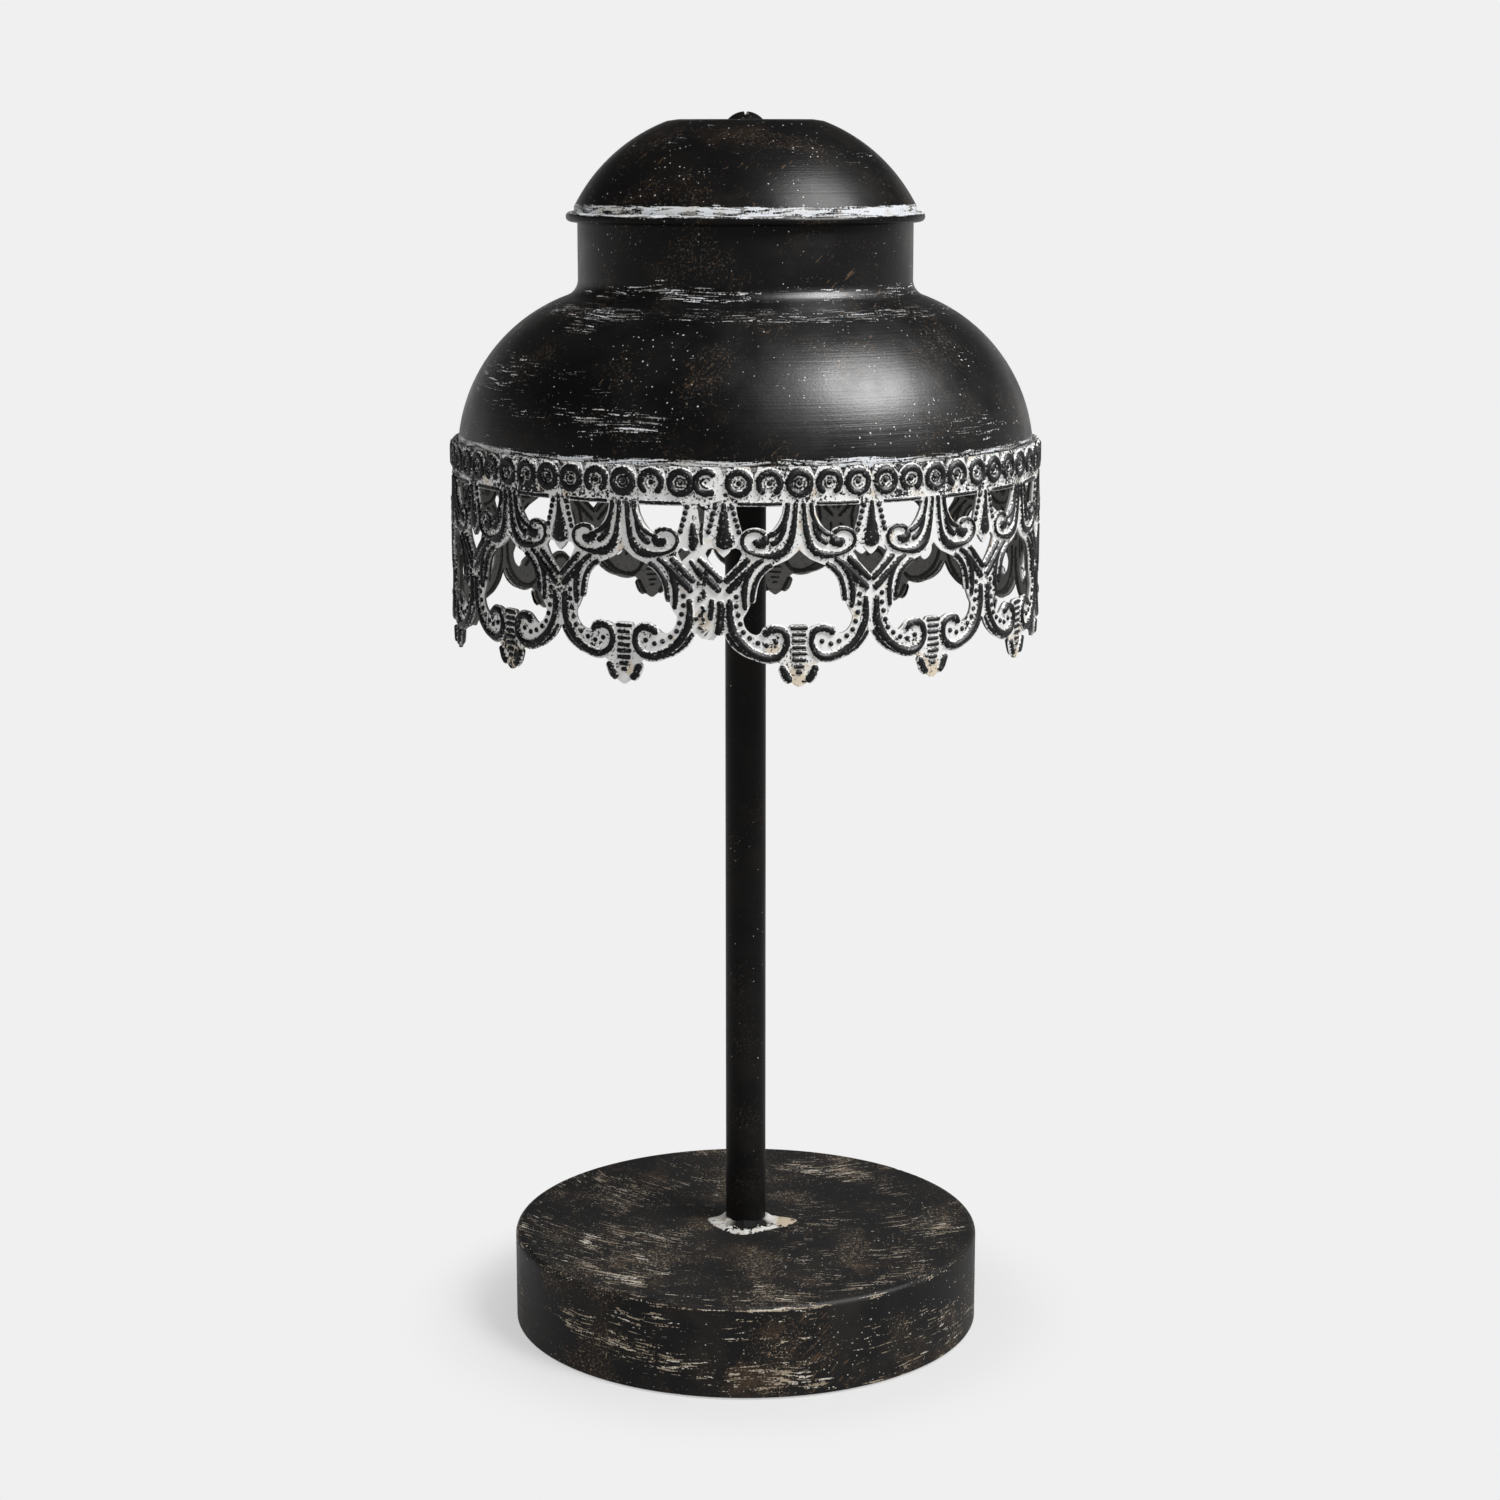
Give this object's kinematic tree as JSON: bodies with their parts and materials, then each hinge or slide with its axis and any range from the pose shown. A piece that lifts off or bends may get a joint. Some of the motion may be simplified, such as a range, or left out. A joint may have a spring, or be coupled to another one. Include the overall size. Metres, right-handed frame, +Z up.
{
  "type": "led lantern",
  "caption": "Battery table lantern: a disc base and tube stem carry a domed, bell-shaped metal shade with a pierced lace skirt; switch and battery door underneath.",
  "frame": {"origin": "middle of the base's underside, on the surface it stands on", "axes": "+Z up along the stem, -Y towards the viewer of the picture, +X to the viewer's right"},
  "size_m": [0.169, 0.169, 0.3602],
  "materials": {
    "black_enamel": "distressed satin paint with white dry-brush",
    "base_enamel": "distressed satin paint with cream and brown dry-brush",
    "lace_enamel": "chalky white in the recesses, black on the ribs",
    "filler": "rough, lumpy",
    "steel": "zinc plated",
    "black_moulding": "fine texture",
    "white_moulding": "satin",
    "diffuser": "frosted",
    "board": "solder mask",
    "light_board": "white solder mask",
    "diode": "phosphor",
    "battery_wrap": "plain wrap",
    "foam": "closed-cell foam",
    "lead_red": "wire insulation",
    "lead_pale": "wire insulation"
  },
  "bodies": {
    "lantern": {"base_shell": "base_enamel", "weld_bead": "filler", "base_posts": "steel", "base_plate": "black_moulding", "plate_screws": "steel", "foot_ring": "foam", "battery_tray": "black_moulding", "battery_left": "battery_wrap", "battery_middle": "battery_wrap", "battery_right": "battery_wrap", "contact_springs": "steel", "contact_plates": "steel", "control_board": "board", "board_screws": "steel", "switch_body": "steel", "battery_wires": "lead_red", "stem": "black_enamel", "stem_plug": "steel", "seat_washer": "steel", "top_screw": "black_enamel", "shade_cap": "black_enamel", "shade_bell": "black_enamel", "lace_band": "lace_enamel", "led_holder": "white_moulding", "holder_screw": "steel", "led_board": "light_board", "led_chips": "diode", "led_diffuser": "diffuser", "lamp_wires": "lead_pale"},
    "battery_door": {"battery_door": "black_moulding"},
    "switch_slider": {"switch_slider": "white_moulding"}
  },
  "joints": [
    {"name": "door_hinge", "type": "hinge", "parent": "lantern", "child": "battery_door", "pos_m": [-0.0368, 0, 0.0041], "axis": [0, 1, 0], "range_deg": [0, 90]},
    {"name": "switch_slide", "type": "slide", "parent": "lantern", "child": "switch_slider", "axis": [0, 1, 0], "range_m": [-0.002, 0.002]}
  ]
}
